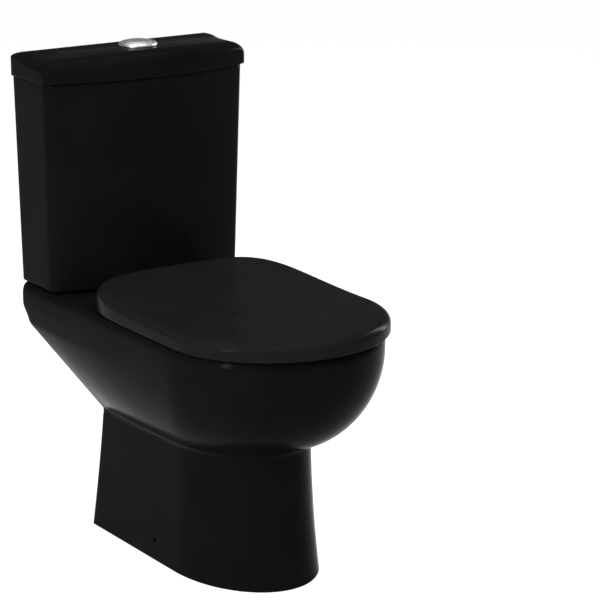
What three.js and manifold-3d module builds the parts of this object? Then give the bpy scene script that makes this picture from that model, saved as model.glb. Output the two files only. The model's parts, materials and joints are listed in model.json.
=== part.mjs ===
// Close coupled toilet: a ceramic pan with its cistern bolted on behind the seat.
// Millimetres, +Z up. The front of the toilet faces -Y and the wall is at +Y.
// The origin is on the floor, under the middle of the toilet.
// Inside the group every piece is placed by its reach, the distance in front of the wall: y = -reach.
import * as THREE from 'three';
import { mergeVertices } from 'three/addons/utils/BufferGeometryUtils.js';
import Module from 'manifold-3d';

const wasm = await Module();
wasm.setup();

// ---- driving dimensions ----
const totalDepth = 655;
const gap = 0.3;            // left between touching pieces
const ceramicWall = 11;

// pan
const footHalf = 115.5;     // half width at the floor
const footFront = 536;
const footBack = 100;
const waistHeight = 212;    // where the pedestal turns out into the bowl
const waistHalf = 106;
const waistFront = 517;
const waistBack = 126;
const waistTilt = { atBack: -4, atFront: 11 };   // the waist climbs towards the front
const waistShoulder = 368;  // reach where the straight side becomes the round front
const rimHeight = 403;
const rimHalf = 182;
const rimFront = 645;
const rimShoulder = 462;
const bowlRoundTop = 380;   // the bowl's side is upright above this height
const shelfBottomFront = 340;
const panCorner = 14;
const rimEdge = { across: 8, down: 18 };
const outletHeight = 185;
const outletReach = 84;
const outletOuter = 51;
const outletInner = 43;
const sideHole = { reach: 306, height: 33, radius: 4.6 };

// bowl opening and rim channel
const bowl = { reach: 439, half: 118, length: 165, power: 2.3 };
const lipThickness = 9;
const channelWidth = 22;
const bowlFloor = 76;

// the way out of the bowl and the waterway under the deck
const trapRadius = 27;
const trapOuter = 36;
const duct = { half: 46, back: 42, front: 262, bottom: 336, top: 392 };
const ductWay = { half: 34, back: 54, front: 285, bottom: 348, top: 371 };
const inletNotch = { radius: 23, bottom: 340 };

// heights where the casting is parted into simpler pieces
const deckUnderside = 372;
const bowlParting = 265;

// cistern
const tankBottom = 405.5;
const tankTop = 747;
const tankFoot = { half: 176.5, side: 105, bow: 37 };
const tankHead = { half: 183.5, side: 115, bow: 37 };
const tankEdge = { front: 20, back: 6 };         // radii of the upright edges
const tankWall = 9;
const tankFloor = 421;
const lidTop = 795;         // at the crown's rear, in the middle
const lidFall = 3.6;        // from the rear to where the button sits
const buttonSeat = lidTop - lidFall;
const lidCrown = 10;        // how far the top falls to each end
const lidBottom = 747.3;
const lidPlan = { half: 188, side: 117, bow: 38 };
const lidEdge = { front: 12, back: 8 };
const lidRearEdge = 0.4;    // the top's rounding is this much shallower at the back
const lidCeiling = 774;

// flush centre line: valve, inlet and button share it
const flushReach = 88;
const couplingX = 75;
const fillX = 118;
const fillReach = 60;

// button
const buttonRadius = 31.3;
const buttonTravel = 8;
const rodX = 16;

// seat
const seat = {
  half: 180.8, frontCentre: 484, frontLength: 171, rearCentre: 400, rearLength: 222, rearPower: 4.4,
};
const lidSkirtBottom = 406;
const lidPlateBottom = 429.5;
const lidPlateTop = 433;
const lidRearLift = { most: 18, from: 470, over: 290, power: 1.8 };   // the lid rises over the hinges
const lidSkirt = 3.6;
const ringBottom = 409;
const ringTop = 424;
const ringInset = 6.5;
const ringHole = { reach: 440, half: 112, length: 158, power: 2.2 };
const hingeReach = 184;
const hingeHeight = 423;
const hingeX = 77.5;
const pinRadius = 3;

// ---- materials ----
const finish = (color, roughness, metalness = 0) =>
  new THREE.MeshStandardMaterial({ color, roughness, metalness });
const blackGlaze = finish(0x0b0b0d, 0.08);
const blackPlastic = finish(0x0d0d0f, 0.16);
const chrome = finish(0xd6d8da, 0.08, 1);
const steel = finish(0xa9acb0, 0.3, 1);
const rubber = finish(0x161616, 0.85);
const whitePlastic = finish(0xe8e8e4, 0.45);
const greyPlastic = finish(0x8e9499, 0.5);
const redPlastic = finish(0xa83a32, 0.5);

// ---- solid modelling helpers ----
function solid(geometry) {
  const bare = geometry.clone();
  bare.deleteAttribute('normal');
  bare.deleteAttribute('uv');
  const merged = mergeVertices(bare, 1e-4);
  const vertProperties = new Float32Array(merged.attributes.position.array);
  const triVerts = new Uint32Array(merged.index.array);
  return new wasm.Manifold(new wasm.Mesh({ numProp: 3, vertProperties, triVerts }));
}

function surface(manifold) {
  const mesh = manifold.getMesh();
  const geometry = new THREE.BufferGeometry();
  geometry.setAttribute('position', new THREE.BufferAttribute(mesh.vertProperties, 3));
  geometry.setIndex(new THREE.BufferAttribute(mesh.triVerts, 1));
  return geometry;
}

const joined = (...pieces) => pieces.map(asSolid).reduce((sum, piece) => sum.add(piece));
const cut = (body, ...tools) =>
  tools.map(asSolid).reduce((rest, tool) => rest.subtract(tool), asSolid(body));
const common = (body, tool) => asSolid(body).intersect(asSolid(tool));
const larger = (a, b) => (b.volume() > a.volume() ? b : a);
const largest = (body) => body.decompose().reduce(larger);
const asSolid = (piece) => (piece.isBufferGeometry ? solid(piece) : piece);

// A closed skin through rings of equal point count, each ring counter-clockwise, lowest first.
function loft(rings) {
  const count = rings[0].length;
  const points = rings.flat();
  const index = [];
  for (let level = 0; level < rings.length - 1; level++) {
    for (let i = 0; i < count; i++) {
      const a = level * count + i;
      const b = level * count + ((i + 1) % count);
      index.push(a, b, b + count, a, b + count, a + count);
    }
  }
  const capCentre = (ring) => {
    const middle = new THREE.Vector3();
    ring.forEach((p) => middle.add(new THREE.Vector3(...p)));
    return middle.divideScalar(count).toArray();
  };
  const bottom = points.push(capCentre(rings[0])) - 1;
  const top = points.push(capCentre(rings.at(-1))) - 1;
  const last = (rings.length - 1) * count;
  for (let i = 0; i < count; i++) {
    const next = (i + 1) % count;
    index.push(bottom, next, i, top, last + i, last + next);
  }
  const geometry = new THREE.BufferGeometry();
  geometry.setAttribute('position', new THREE.Float32BufferAttribute(points.flat(), 3));
  geometry.setIndex(index);
  return geometry;
}

const raise = (outline, z) => outline.map(([x, y]) => [x, y, z]);
const moved = (geometry, x, reach, z) => geometry.translate(x, -reach, z);
const box = (x0, x1, reach0, reach1, z0, z1) => moved(
  new THREE.BoxGeometry(x1 - x0, reach1 - reach0, z1 - z0),
  (x0 + x1) / 2, (reach0 + reach1) / 2, (z0 + z1) / 2,
);

// An upright turned piece. Profile rows are [radius, height], from the lowest axis point to the top one.
function turned(profile, sides = 24) {
  const points = profile.map(([radius, height]) => new THREE.Vector2(radius, height));
  return new THREE.LatheGeometry(points, sides).rotateX(Math.PI / 2);
}
const rod = (radius, z0, z1, sides = 14) =>
  turned([[0, z0], [radius, z0], [radius, z1], [0, z1]], sides);
const tube = (inner, outer, z0, z1, sides = 14) =>
  turned([[inner, z0], [outer, z0], [outer, z1], [inner, z1], [inner, z0]], sides);
const alongX = (geometry) => geometry.rotateY(Math.PI / 2);

const clamp = THREE.MathUtils.clamp;
const smooth = THREE.MathUtils.smoothstep;

// ---- plan outlines, counter-clockwise from the right-hand side ----
// Straight or gently narrowing sides, a flat back with round corners and a half-elliptical front.
function panOutline({ half, backHalf, back, shoulder, front, corner = panCorner }) {
  const sideSteps = 3;
  const cornerSteps = 3;
  const frontSteps = 18;
  const outline = [];
  const side = (step) => {
    const along = step / sideSteps;
    const reach = THREE.MathUtils.lerp(shoulder, back + corner, along);
    return [half - (half - backHalf) * along ** 2, -reach];
  };
  for (let i = 0; i < sideSteps; i++) outline.push(side(i));
  for (let i = 0; i <= cornerSteps; i++) {
    const angle = (i / cornerSteps) * Math.PI / 2;
    outline.push([backHalf - corner + corner * Math.cos(angle), -back - corner + corner * Math.sin(angle)]);
  }
  const rightHalf = outline.length;
  for (let i = rightHalf - 1; i >= 0; i--) outline.push([-outline[i][0], outline[i][1]]);
  for (let i = 1; i < frontSteps; i++) {
    const angle = Math.PI + (i / frontSteps) * Math.PI;
    outline.push([half * Math.cos(angle), -shoulder + (front - shoulder) * Math.sin(angle)]);
  }
  return outline;
}

// A superellipse centred on x = 0.
function oval({ half, length, reach, power }, grow = 0, steps = 24) {
  const outline = [];
  for (let i = 0; i < steps; i++) {
    const angle = (i / steps) * 2 * Math.PI;
    const c = Math.cos(angle);
    const s = Math.sin(angle);
    outline.push([
      (half + grow) * Math.sign(c) * Math.abs(c) ** (2 / power),
      -reach + (length + grow) * Math.sign(s) * Math.abs(s) ** (2 / power),
    ]);
  }
  return outline;
}

// The cistern's plan: flat back, straight sides and a bowed front, with rounded upright edges.
function cisternOutline({ half, side, bow }, inset, rounding) {
  const cornerSteps = 4;
  const frontSteps = 10;
  const bowRadius = (half ** 2 + bow ** 2) / (2 * bow);
  const bowCentre = side + bow - bowRadius;
  const edge = half - inset;
  const backRound = Math.max(rounding.back - inset / 2, 2);
  const frontRound = Math.max(rounding.front - inset / 2, 2);
  const outline = [];
  const arc = (x, reach, radius, from, to, steps) => {
    for (let i = 0; i <= steps; i++) {
      const angle = THREE.MathUtils.lerp(from, to, i / steps);
      outline.push([x + radius * Math.cos(angle), -reach + radius * Math.sin(angle)]);
    }
  };
  const cornerX = edge - frontRound;
  const cornerRun = bowRadius - inset - frontRound;
  const cornerReach = bowCentre + Math.sqrt(cornerRun ** 2 - cornerX ** 2);
  const swing = Math.asin(cornerX / cornerRun);
  arc(edge - backRound, inset + backRound, backRound, 0, Math.PI / 2, cornerSteps);
  arc(-edge + backRound, inset + backRound, backRound, Math.PI / 2, Math.PI, cornerSteps);
  arc(-cornerX, cornerReach, frontRound, Math.PI, 1.5 * Math.PI - swing, cornerSteps);
  for (let i = 1; i < frontSteps; i++) {
    const angle = 1.5 * Math.PI + THREE.MathUtils.lerp(-swing, swing, i / frontSteps);
    const radius = bowRadius - inset;
    outline.push([radius * Math.cos(angle), -bowCentre + radius * Math.sin(angle)]);
  }
  arc(cornerX, cornerReach, frontRound, 1.5 * Math.PI + swing, 2 * Math.PI, cornerSteps);
  return outline;
}

// The seat's plan: a half-elliptical front, straight sides and a squarer, bulging rear.
function seatOutline(inset) {
  const rearSteps = 18;
  const frontSteps = 18;
  const half = seat.half - inset;
  const outline = [];
  for (let i = 0; i <= rearSteps; i++) {
    const angle = (i / rearSteps) * Math.PI;
    const c = Math.cos(angle);
    const s = Math.max(Math.sin(angle), 0);
    outline.push([
      half * Math.sign(c) * Math.abs(c) ** (2 / seat.rearPower),
      -seat.rearCentre + (seat.rearLength - inset) * s ** (2 / seat.rearPower),
    ]);
  }
  for (let i = 0; i <= frontSteps; i++) {
    const angle = Math.PI + (i / frontSteps) * Math.PI;
    outline.push([half * Math.cos(angle), -seat.frontCentre + (seat.frontLength - inset) * Math.sin(angle)]);
  }
  return outline;
}

// ---- pan ----
function panSection(z) {
  if (z < waistHeight) {
    const up = clamp(z / waistHeight, 0, 1);
    const half = waistHalf + (footHalf - waistHalf) * (1 - up) ** 1.6;
    return {
      half,
      backHalf: half,
      back: THREE.MathUtils.lerp(footBack, waistBack, up),
      shoulder: waistShoulder,
      front: waistFront + (footFront - waistFront) * (1 - up) ** 2,
    };
  }
  const below = clamp((bowlRoundTop - z) / (bowlRoundTop - waistHeight), 0, 1);
  const spread = (1 - below ** 2) ** 0.58;
  const climb = clamp((z - waistHeight) / (shelfBottomFront - waistHeight), 0, 1);
  const top = smooth(z, shelfBottomFront, shelfBottomFront + 32);
  const edge = clamp((z - rimHeight + rimEdge.down) / rimEdge.down, 0, 1);
  const rounding = rimEdge.across * (1 - Math.sqrt(1 - edge ** 2));
  return {
    half: THREE.MathUtils.lerp(waistHalf, rimHalf, spread) - rounding,
    backHalf: THREE.MathUtils.lerp(waistHalf, rimHalf - 4, climb) + 4 * top - rounding,
    back: THREE.MathUtils.lerp(waistBack, 12, climb) - 12 * top,
    shoulder: THREE.MathUtils.lerp(waistShoulder, rimShoulder, spread),
    front: THREE.MathUtils.lerp(waistFront, rimFront, spread) - rounding,
  };
}

// The waist slopes up towards the front; heights near it follow, the floor and the rim do not.
function tilted(ring) {
  return ring.map(([x, y, z]) => {
    const forward = clamp((-y - waistBack) / (waistFront - waistBack), 0, 1);
    const lift = THREE.MathUtils.lerp(waistTilt.atBack, waistTilt.atFront, forward);
    const near = z < waistHeight
      ? clamp(z / waistHeight, 0, 1) ** 1.5
      : clamp((bowlRoundTop - z) / (bowlRoundTop - waistHeight), 0, 1);
    return [x, y, z + lift * near];
  });
}

function panSkin() {
  const heights = [3, 25, 70, 130, 211, 214, 219, 227, 239, 256, 280, 312, 345, 372, 386, 396, 401];
  const foot = panSection(0);
  const chamfer = 1.5;
  const rings = [raise(panOutline({
    ...foot, half: foot.half - chamfer, backHalf: foot.backHalf - chamfer, front: foot.front - chamfer,
  }), 0)];
  heights.forEach((z) => rings.push(tilted(raise(panOutline(panSection(z)), z))));
  rings.push(raise(panOutline(panSection(rimHeight - 0.4)), rimHeight));
  return loft(rings);
}

// The hollow under the bowl and shelf, open to the floor and to the back.
function panHollow() {
  const lift = 9;
  const rows = [[-1, 0], [80, 80], [212 + lift, 211], [221 + lift, 221], [241 + lift, 241], [280 + lift, 280],
    [372, 350], [389, 384]];
  return loft(rows.map(([z, section]) => {
    const outer = panSection(Math.max(section, 0));
    return tilted(raise(panOutline({
      half: outer.half - ceramicWall,
      backHalf: outer.backHalf - ceramicWall - 5 * smooth(z, waistHeight, waistHeight + 40),
      back: -20,
      shoulder: outer.shoulder,
      front: outer.front - ceramicWall,
      corner: 4,
    }), z));
  }));
}

// Rows of the bowl below the rim channel: height, growth across and along, shift to the back.
const bowlRows = [
  [372, 22, 22, 0], [345, 18, 17, 1], [310, 6, 2, 5], [265, -16, -28, 17], [220, -38, -66, 36],
  [175, -58, -92, 51], [130, -72, -110, 65], [95, -82, -124, 74], [bowlFloor, -96, -140, 78],
];

function bowlVoid(grow) {
  const rows = [...bowlRows].reverse().map(([z, across, along, backward]) => raise(oval({
    half: bowl.half + across + grow,
    length: bowl.length + along + grow,
    reach: bowl.reach - backward,
    power: bowl.power,
  }), z === bowlFloor ? z - grow : z));
  if (grow > 0) rows.push(raise(oval(bowl, channelWidth + grow), rimHeight - 2));
  return loft(rows);
}

function sweep(path, radius, sides = 14) {
  const curve = new THREE.CatmullRomCurve3(path.map(([reach, z]) => new THREE.Vector3(0, -reach, z)));
  const section = new THREE.Shape().absarc(0, 0, radius, 0, 2 * Math.PI, false);
  return new THREE.ExtrudeGeometry(section, {
    steps: 11, curveSegments: sides / 2, bevelEnabled: false, extrudePath: curve,
  });
}

const trapPath = [[352, 104], [318, 96], [284, 104], [262, 136], [246, 172], [222, 194], [190, 198],
  [150, 190], [124, outletHeight]];
const outletPipe = (radius, from, to) =>
  moved(rod(radius, 0, from - to, 24).rotateX(-Math.PI / 2), 0, from, outletHeight);

const ductBox = ({ half, back, front, bottom, top }, grow = 0) =>
  box(-half - grow, half + grow, back - grow, front + grow, bottom - grow, top + grow);
const outletRoot = 150;     // reach where the spigot meets the trap

function wholePan() {
  const shell = cut(panSkin(), panHollow());
  const inner = joined(
    bowlVoid(ceramicWall),
    sweep(trapPath, trapOuter),
    outletPipe(outletOuter, outletRoot + 10, outletReach),
    ductBox(duct),
  );
  const rimOpening = loft([raise(oval(bowl), 355), raise(oval(bowl), rimHeight - 6),
    raise(oval(bowl, 1.5), rimHeight - 2), raise(oval(bowl, 5), rimHeight + 1)]);
  const channel = cut(
    loft([raise(oval(bowl, channelWidth), 364), raise(oval(bowl, channelWidth), rimHeight - 12)]),
    loft([raise(oval(bowl, lipThickness), 376), raise(oval(bowl, lipThickness), rimHeight)]),
  );
  const voids = joined(
    bowlVoid(0),
    rimOpening,
    sweep(trapPath, trapRadius),
    outletPipe(outletInner, outletRoot - 8, outletReach - 1),
    ductBox(ductWay),
  );
  const inlet = joined(
    moved(rod(28, 360, 390, 20), 0, flushReach, 0),
    moved(rod(39, rimHeight - 19, rimHeight + 1, 24), 0, flushReach, 0),
  );
  const holes = [];
  for (const side of [-1, 1]) {
    holes.push(moved(rod(7, 380, rimHeight + 2, 12), side * couplingX, flushReach, 0));
    holes.push(moved(rod(6.5, 380, rimHeight + 2, 12), side * hingeX, hingeReach, 0));
    const sideDrill = alongX(rod(sideHole.radius, -16, 16, 12));
    holes.push(moved(sideDrill, side * waistHalf, sideHole.reach, sideHole.height));
  }
  const { radius: notchHalf, bottom: notchBottom } = inletNotch;
  const notch = joined(
    box(fillX - notchHalf, fillX + notchHalf, -5, fillReach, notchBottom, rimHeight + 2),
    moved(rod(notchHalf, notchBottom, rimHeight + 2, 16), fillX, fillReach, 0),
  );
  return cut(joined(shell, inner), voids, channel, inlet, notch, ...holes);
}

// The casting in simpler pieces, a hairline apart: the deck with its rim, the bowl in two heights, the
// waterway under the deck, the outlet, the trap, the skirt round the bowl and the pedestal.
function panPieces() {
  const half = gap / 2;
  const slab = (z0, z1) => box(-200, 200, -30, 700, z0, z1);
  const whole = wholePan();
  const below = common(whole, slab(-2, deckUnderside - half));
  const bowlShell = common(below, bowlVoid(ceramicWall));
  const notBowl = cut(below, bowlVoid(ceramicWall + gap));
  const notOutlet = cut(notBowl, outletPipe(outletOuter + gap, outletRoot + gap, outletReach - 2));
  const notTrap = cut(notOutlet, sweep(trapPath, trapOuter + gap));
  const walls = cut(notTrap, ductBox(duct, gap));
  return {
    pan_deck: largest(common(whole, slab(deckUnderside + half, rimHeight + 2))),
    pan_bowl_upper: largest(common(bowlShell, slab(bowlParting + half, rimHeight))),
    pan_bowl_lower: largest(common(bowlShell, slab(-2, bowlParting - half))),
    pan_outlet: largest(common(notBowl, outletPipe(outletOuter, outletRoot, outletReach - 1))),
    pan_trap: largest(common(notOutlet, sweep(trapPath, trapOuter))),
    pan_duct: largest(common(notTrap, ductBox(duct))),
    pan_skirt: largest(common(walls, slab(waistHeight + half, rimHeight))),
    pan_pedestal: largest(common(walls, slab(-2, waistHeight - half))),
  };
}

// ---- cistern ----
function tank() {
  const blend = (share) => ({
    half: THREE.MathUtils.lerp(tankFoot.half, tankHead.half, share),
    side: THREE.MathUtils.lerp(tankFoot.side, tankHead.side, share),
    bow: THREE.MathUtils.lerp(tankFoot.bow, tankHead.bow, share),
  });
  const height = tankTop - tankBottom;
  const rows = [[0, 5], [1.5, 2], [5, 0], [height, 0]];
  const outer = loft(rows.map(([up, inset]) =>
    raise(cisternOutline(blend(up / height), inset, tankEdge), tankBottom + up)));
  const inner = loft([[tankFloor, 4], [tankFloor + 6, 0], [tankTop + 1, 0]].map(([z, inset]) =>
    raise(cisternOutline(blend((z - tankBottom) / height), tankWall + inset, tankEdge), z)));
  const floorHoles = [moved(rod(31, 400, 430, 20), 0, flushReach, 0),
    moved(rod(11, 400, 430, 12), fillX, fillReach, 0)];
  for (const side of [-1, 1]) {
    floorHoles.push(moved(rod(5.5, 400, 430, 12), side * couplingX, flushReach, 0));
  }
  return cut(outer, inner, ...floorHoles);
}

// The lid's top is crowned from side to side and rounds over more deeply at the front than at the back.
function cisternLid() {
  const level = (z, inset) => raise(cisternOutline(lidPlan, inset, lidEdge), z);
  const crownFoot = lidBottom + 8;
  const topLevel = (down, inset) => level(lidTop, inset).map(([x, y]) => {
    const depth = THREE.MathUtils.lerp(lidRearEdge, 1, smooth(-y, 20, 90));
    const fall = lidFall * smooth(-y, 20, 56);
    const z = lidTop - fall - down * depth;
    const share = clamp((z - crownFoot) / (lidTop - crownFoot), 0, 1);
    return [x, y, z - lidCrown * (x / lidPlan.half) ** 2 * share];
  });
  const base = [[0, 2], [1.5, 0.6], [4, 0]].map(([up, inset]) => level(lidBottom + up, inset));
  const round = [[24, 0], [15.8, 1.5], [9.6, 5], [4.8, 10], [1.3, 17], [0, 25], [0, 45], [0, 60]];
  const outer = loft([...base, ...round.map(([down, inset]) => topLevel(down, inset))]);
  const ceiling = [[lidBottom - 1, 20], [lidCeiling - 6, 22], [lidCeiling, 30]];
  const hollow = loft(ceiling.map(([z, inset]) => level(z, inset)));
  // The rib drops inside the tank and keeps the lid from sliding.
  const ribDrop = 9;
  const rib = cut(
    loft([level(lidBottom - ribDrop, 18), level(lidBottom + 8, 18)]),
    loft([level(lidBottom - ribDrop - 1, 24), level(lidBottom + 9, 24)]),
  );
  const buttonHole = moved(rod(28, buttonSeat - 20, buttonSeat + 2, 28), 0, flushReach, 0);
  return cut(joined(cut(outer, hollow), rib), buttonHole);
}

// ---- dual flush button ----
function buttonBezel() {
  const profile = [
    [24.4, buttonSeat - 30], [27.2, buttonSeat - 30], [27.2, buttonSeat + gap], [buttonRadius, buttonSeat + gap],
    [buttonRadius, buttonSeat + 1.4], [30.2, buttonSeat + 3.4], [28.4, buttonSeat + 5], [26.2, buttonSeat + 5.9],
    [24.4, buttonSeat + 5.5], [24.4, buttonSeat - 30],
  ];
  return turned(profile, 30);
}

// One part of the domed button, on the side of the split that its push rod stands on.
function buttonHalf(side) {
  const split = 5;
  const dome = turned([[0, buttonSeat - 6], [23.9, buttonSeat - 6], [23.9, buttonSeat + 5], [21.5, buttonSeat + 6.8],
    [16, buttonSeat + 8.3], [8, buttonSeat + 9.2], [0, buttonSeat + 9.5]], 30);
  const keep = side < 0
    ? box(-40, split - gap, -40, 40, buttonSeat - 10, buttonSeat + 12)
    : box(split + gap, 40, -40, 40, buttonSeat - 10, buttonSeat + 12);
  const pushRod = rod(3, 650, buttonSeat - 4, 12).translate(side * rodX, 0, 0);
  return joined(solid(dome).intersect(solid(keep)), pushRod);
}

// ---- seat ----
// The lid's lower edge runs just above the pan and lifts at the back, where it swings down past the hinge.
function seatLid() {
  const rearEdge = 418;
  const lowerEdge = (y) => {
    const front = smooth(-y, hingeReach, hingeReach + 22);
    return THREE.MathUtils.lerp(rearEdge, lidSkirtBottom, front);
  };
  const outerRows = [
    [0, 0.8], [0, 0], [0.45, 0], [0.72, 1.2], [0.87, 3.8], [0.96, 8], [1, 15], [1, 60], [1, 120],
  ];
  const outerRing = ([share, inset], row) => seatOutline(inset).map(([x, y]) => {
    const low = lowerEdge(y);
    const rise = clamp((lidRearLift.from + y) / lidRearLift.over, 0, 1) ** lidRearLift.power;
    const top = lidPlateTop + lidRearLift.most * rise;
    if (row === 0) return [x, y, low];
    return [x, y, low + 1 + (top - low - 1) * share];
  });
  const outer = loft(outerRows.map(outerRing));
  const innerRing = (inset, z) => raise(seatOutline(lidSkirt + inset), z);
  const inner = loft([innerRing(0, lidSkirtBottom - 2), innerRing(0, 419), innerRing(1.5, 424.5),
    innerRing(5, 428), innerRing(11, lidPlateBottom)]);
  const shell = cut(outer, inner);
  const knuckles = [];
  const notches = [];
  for (const side of [-1, 1]) {
    const inside = side * (hingeX - 19);
    knuckles.push(moved(alongX(rod(6, -7, 7)), inside, hingeReach, hingeHeight));
    const webTop = lidPlateBottom + 1;
    knuckles.push(box(inside - 7, inside + 7, hingeReach - 6, hingeReach + 6, hingeHeight, webTop));
    const notchMiddle = side * (hingeX + 9);
    const notchHalf = 19.5;
    notches.push(box(
      notchMiddle - notchHalf, notchMiddle + notchHalf, 160, hingeReach + 7, 400, lidPlateBottom,
    ));
  }
  const bores = [-1, 1].map((side) =>
    moved(alongX(rod(pinRadius + 0.4, -9, 9)), side * (hingeX - 19), hingeReach, hingeHeight));
  return cut(joined(cut(shell, ...notches), ...knuckles), ...bores);
}

function seatRing() {
  const rows = [[0, 2.5], [2.5, 0], [10.5, 0], [13.4, 2], [15, 6]];
  const rearEdge = 12;
  const outer = loft(rows.map(([up, inset]) => seatOutline(ringInset + inset).map(([x, y]) =>
    [x, Math.min(y, -hingeReach - rearEdge - inset / 2), ringBottom + up])));
  const hole = loft([[-1, 1], [3, 0], [9, 0], [13, 3], [15.2, 9]].map(([up, grow]) =>
    raise(oval(ringHole, grow), ringBottom + up)));
  const arms = [];
  const bores = [];
  for (const side of [-1, 1]) {
    const outside = side * (hingeX + 19);
    arms.push(moved(alongX(rod(5.5, -7, 7)), outside, hingeReach, hingeHeight));
    arms.push(box(outside - 7, outside + 7, hingeReach, hingeReach + 24, ringBottom + 6, ringTop));
    bores.push(moved(alongX(rod(pinRadius + 0.4, -9, 9)), outside, hingeReach, hingeHeight));
  }
  return cut(joined(cut(outer, hole), ...arms), ...bores);
}

// A hinge post stands on the pan, carries the pin and is bolted through the pan by its own stud.
function hingePost() {
  const foot = rod(12.5, rimHeight + gap, rimHeight + 2.6, 16);
  const stem = moved(new THREE.BoxGeometry(16, 8.4, 19), 0, 0, hingeHeight - 9.5);
  const barrel = alongX(rod(5, -8, 8)).translate(0, 0, hingeHeight);
  const stud = rod(4, 350, rimHeight + 2, 12);
  const bore = alongX(rod(pinRadius + gap, -9, 9)).translate(0, 0, hingeHeight);
  return cut(joined(foot, stem, barrel, stud), bore);
}

// ---- flush valve ----
const valveSeat = 431;
function flushValveBody() {
  const base = turned([
    [24, 389], [29, 389], [29, tankFloor + 3.9], [40, tankFloor + 3.9], [40, valveSeat - 1],
    [25.5, valveSeat - 1], [25.5, valveSeat], [24, valveSeat], [24, 389],
  ], 16);
  const crown = tube(30, 38, 560, 572, 16);
  const legs = [0, 1, 2, 3].map((quarter) => {
    const leg = new THREE.BoxGeometry(5, 12, 572 - 428).translate(35, 0, (572 + 428) / 2);
    return leg.rotateZ(Math.PI / 4 + quarter * Math.PI / 2);
  });
  return joined(base, crown, ...legs);
}
function flushValveHead() {
  const cap = tube(12.5, 38, 572 + gap, 600, 16);
  return cut(cap, ...[-1, 1].map((side) => rod(4.6, 560, 610, 12).translate(side * rodX, 0, 0)));
}
const coreTop = 690;
const flushCore = () => turned([
  [8, valveSeat + 1], [14, valveSeat + 1], [14, valveSeat + 5 + gap], [26, valveSeat + 5 + gap],
  [26, valveSeat + 9], [11, valveSeat + 12], [11, coreTop], [8, coreTop], [8, valveSeat + 1],
], 16);
const flushSeal = () => tube(14 + 2 * gap, 27, valveSeat + gap, valveSeat + 5, 16);
const flushPusher = (side) => rod(4, 588, 649.7, 12).translate(side * rodX, 0, 0);

// ---- fill valve ----
function fillValveBody() {
  const washerTop = tankFloor + 3.9;
  return turned([
    [5, 372], [9.5, 372], [9.5, washerTop], [15, washerTop], [15, tankFloor + 9],
    [11, tankFloor + 9], [11, 640], [5, 640], [5, 372],
  ], 14);
}
function fillValveHead() {
  const cap = turned([[0, 640 + gap], [17, 640 + gap], [17, 660], [13, 664], [0, 664]], 14);
  const lug = new THREE.BoxGeometry(8, 30, 8).translate(0, -18, 652);
  const pivot = alongX(rod(2.4, -6, 6, 12)).translate(0, -28, 652);
  return cut(joined(cap, lug), pivot);
}
const floatCup = () => turned([[13, 500], [33, 500], [33, 590], [30, 590], [30, 506], [16, 506], [16, 590],
  [13, 590], [13, 500]], 16);
function floatLever() {
  const arm = new THREE.BoxGeometry(3, 34, 6).translate(6, -37, 652);
  const pin = alongX(rod(2, -5, 6, 12)).translate(0, -28, 652);
  return joined(arm, pin);
}

// ---- fasteners ----
function wingNut() {
  const hub = tube(4.3, 9, 372, 382, 12);
  const wings = [-1, 1].map((side) => new THREE.BoxGeometry(14, 3, 14).translate(side * 14, 0, 373));
  return joined(hub, ...wings);
}
const couplingBolt = () => turned([[0, 352], [4, 352], [4, tankFloor + 3.9], [9, tankFloor + 3.9],
  [9, tankFloor + 8], [6, tankFloor + 10], [0, tankFloor + 10]], 12);

function floorBracket(side) {
  const upright = box(94, 97.5, sideHole.reach - 15, sideHole.reach + 15, 0.5, 56);
  const foot = box(62, 97.5, sideHole.reach - 15, sideHole.reach + 15, 0.5, 4);
  const screwHole = moved(alongX(rod(3, -8, 8, 12)), 96, sideHole.reach, sideHole.height);
  const bracket = surface(cut(joined(upright, foot), screwHole));
  return side > 0 ? bracket : bracket.rotateZ(Math.PI).translate(0, -2 * sideHole.reach, 0);
}
function sideScrew(side) {
  const screw = turned([[0, -22], [2.5, -22], [2.5, -4], [4, 0], [0, 0]], 12);
  return alongX(screw).rotateZ(side > 0 ? 0 : Math.PI).translate(side * 107, 0, 0);
}

// ---- assembly ----
const toilet = new THREE.Group();
toilet.position.y = totalDepth / 2;

function place(name, piece, material, x = 0, reach = 0, z = 0) {
  const geometry = piece.isBufferGeometry ? piece : surface(piece);
  const mesh = new THREE.Mesh(geometry, material);
  mesh.name = name;
  mesh.position.set(x, -reach, z);
  toilet.add(mesh);
}
const sides = [['left', -1], ['right', 1]];

for (const [name, piece] of Object.entries(panPieces())) place(name, piece, blackGlaze);
place('cistern_tank', tank(), blackGlaze);
place('cistern_lid', cisternLid(), blackGlaze);

place('button_bezel', buttonBezel(), chrome, 0, flushReach);
place('full_flush_button', buttonHalf(-1), chrome, 0, flushReach);
place('half_flush_button', buttonHalf(1), chrome, 0, flushReach);
place('button_nut', tube(27.7, 35, lidCeiling - 9, lidCeiling - gap, 18), whitePlastic, 0, flushReach);

place('seat_lid', seatLid(), blackPlastic);
place('seat_ring', seatRing(), blackPlastic);
for (const [name, side] of sides) {
  place(`hinge_post_${name}`, hingePost(), chrome, side * hingeX, hingeReach);
  place(`hinge_pin_${name}`, alongX(rod(pinRadius, -27, 27)), steel, side * hingeX, hingeReach, hingeHeight);
  place(`hinge_nut_${name}`, tube(4.3, 15, 374, 389 - gap, 12), whitePlastic, side * hingeX, hingeReach);
}

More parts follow.
